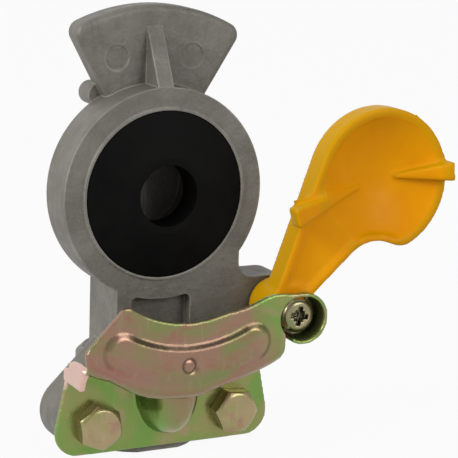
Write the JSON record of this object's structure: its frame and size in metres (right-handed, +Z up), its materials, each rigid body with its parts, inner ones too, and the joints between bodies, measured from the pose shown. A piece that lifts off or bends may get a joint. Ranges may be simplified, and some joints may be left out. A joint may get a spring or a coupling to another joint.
{
  "type": "gladhand air brake coupler",
  "caption": "Cast palm coupling for an air brake line, with a rubber face seal, a pressed steel guide plate and a swinging plastic dust cover.",
  "frame": {"origin": "centre of the threaded port's mouth, under the casting", "axes": "+Z up along the port's axis towards the seal's height, -Y out of the seal's face, +X to the side that carries the cover's pivot"},
  "size_m": [0.1004, 0.0472, 0.1075],
  "materials": {
    "casting": "rough die-cast aluminium",
    "rubber": "matt black rubber",
    "plated_sheet": "yellow iridescent passivated zinc on pressed steel",
    "bolt_steel": "yellow passivated zinc",
    "screw_steel": "yellow passivated zinc",
    "cover_plastic": "satin moulded plastic, amber yellow"
  },
  "bodies": {
    "casting": {"body": "casting", "seal": "rubber", "guide_plate": "plated_sheet", "left_bolt": "bolt_steel", "right_bolt": "bolt_steel", "cover_screw": "screw_steel"},
    "cover": {"cover": "cover_plastic"}
  },
  "joints": [
    {"name": "cover_swing", "type": "hinge", "parent": "casting", "child": "cover", "pos_m": [0.03, -0.0195, 0.0345], "axis": [0, -1, 0], "range_deg": [0, 85]}
  ]
}
